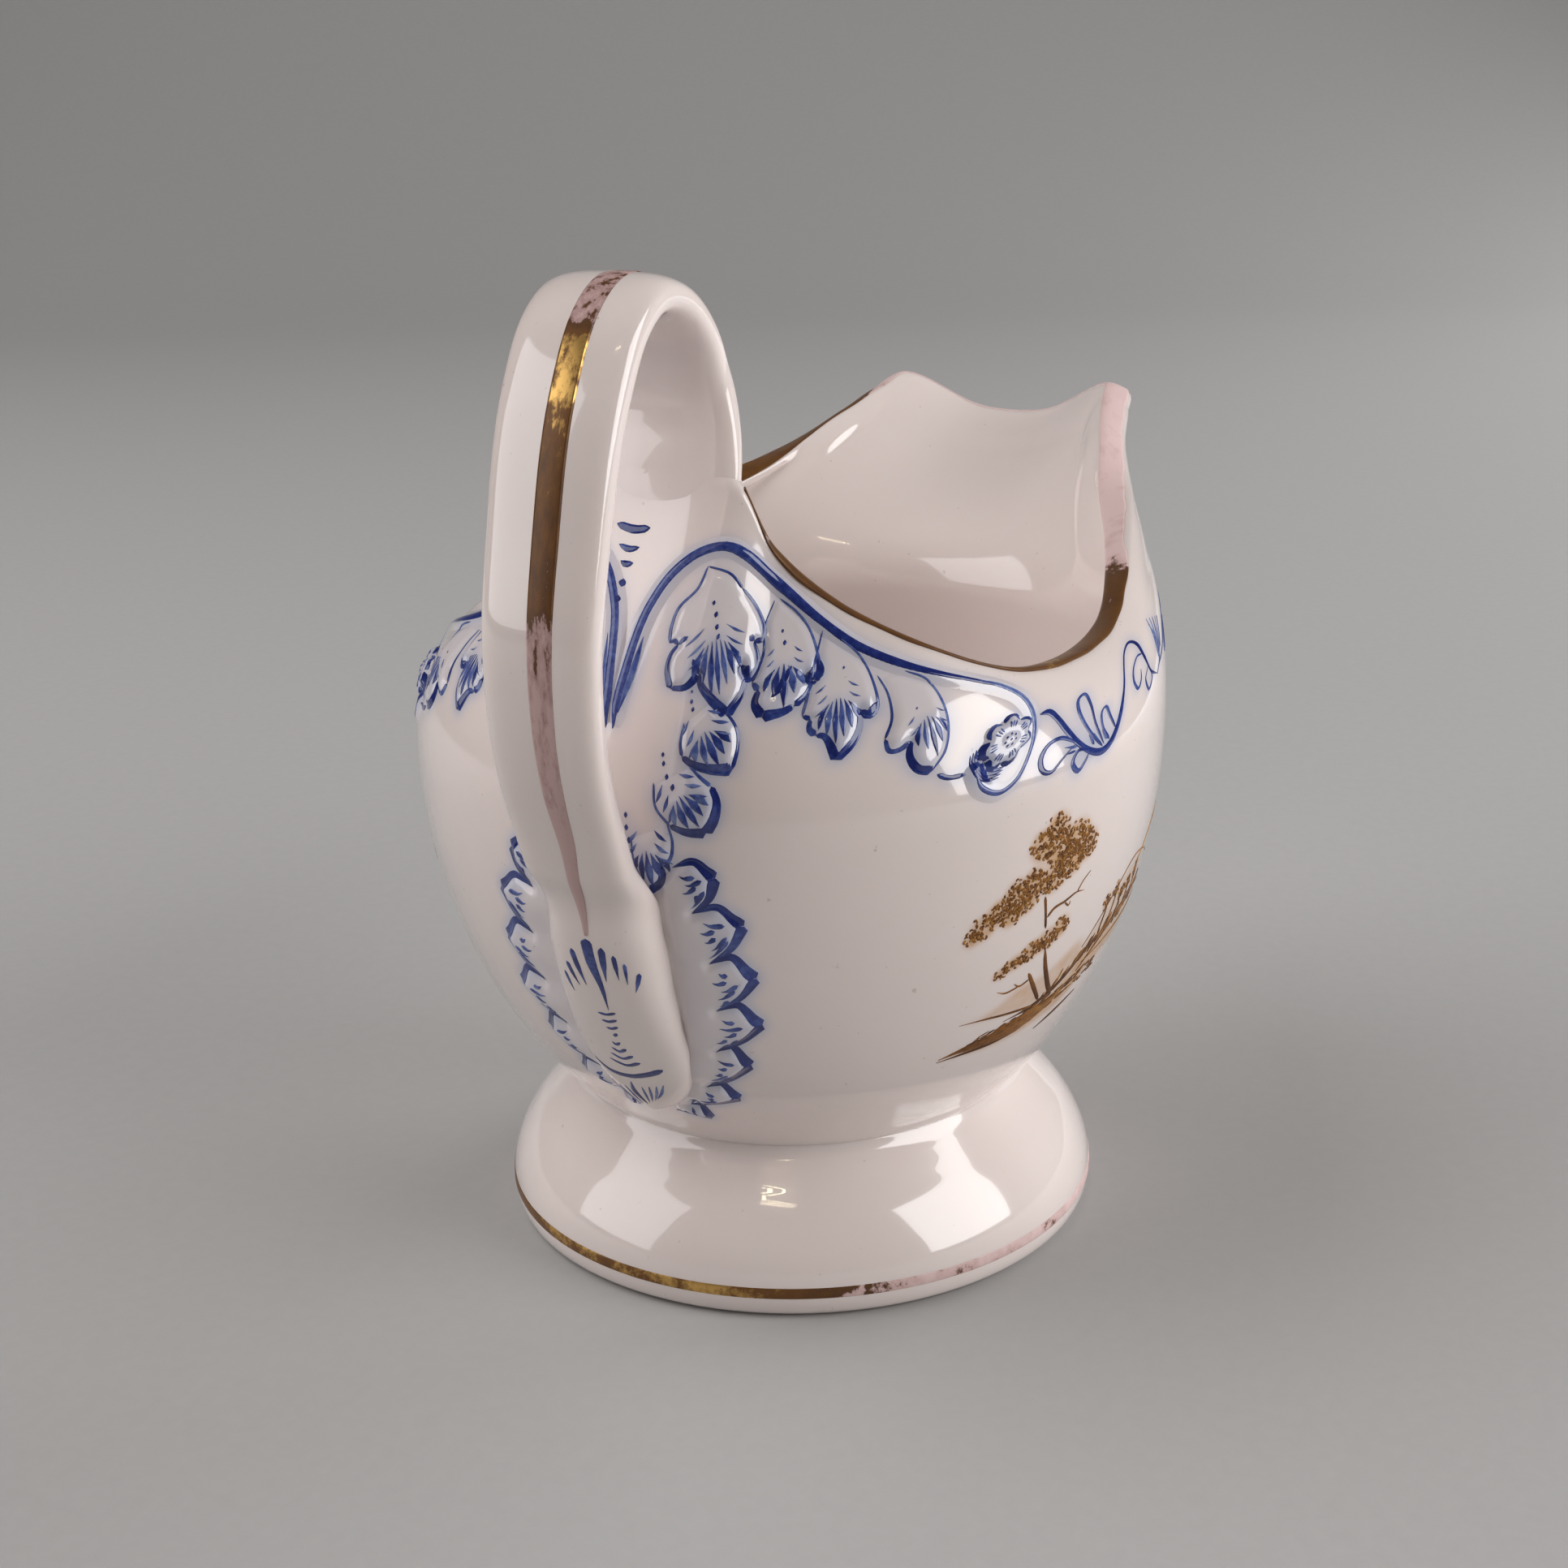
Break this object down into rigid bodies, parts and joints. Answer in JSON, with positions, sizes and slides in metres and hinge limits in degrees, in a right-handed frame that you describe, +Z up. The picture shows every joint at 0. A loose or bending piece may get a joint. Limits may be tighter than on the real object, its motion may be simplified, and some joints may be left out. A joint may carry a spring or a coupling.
{
  "type": "cream jug",
  "caption": "Helmet-shaped porcelain cream jug with a round foot, a wide upswept spout, a high looped strap handle and moulded leaf relief under the rim",
  "frame": {"origin": "centre of the foot ring's standing face", "axes": "+Z up and out of the table, +X towards the spout, -X towards the handle, the XZ plane is the jug's mirror plane"},
  "size_m": [0.1264, 0.086, 0.114],
  "materials": {
    "porcelain": "gloss",
    "painted_relief": "gloss",
    "gilding": "satin"
  },
  "bodies": {
    "root": {"body": "porcelain", "foot": "porcelain", "handle": "porcelain", "shoulder_border_left": "painted_relief", "shoulder_border_right": "painted_relief", "leaf_spray_left": "painted_relief", "leaf_spray_right": "painted_relief", "leaf_drop_left": "painted_relief", "leaf_drop_right": "painted_relief", "scallop_frill_left": "painted_relief", "scallop_frill_right": "painted_relief", "rosette_left": "painted_relief", "rosette_right": "painted_relief", "rim_gilding": "gilding", "handle_gilding": "gilding", "foot_gilding": "gilding"}
  },
  "joints": []
}
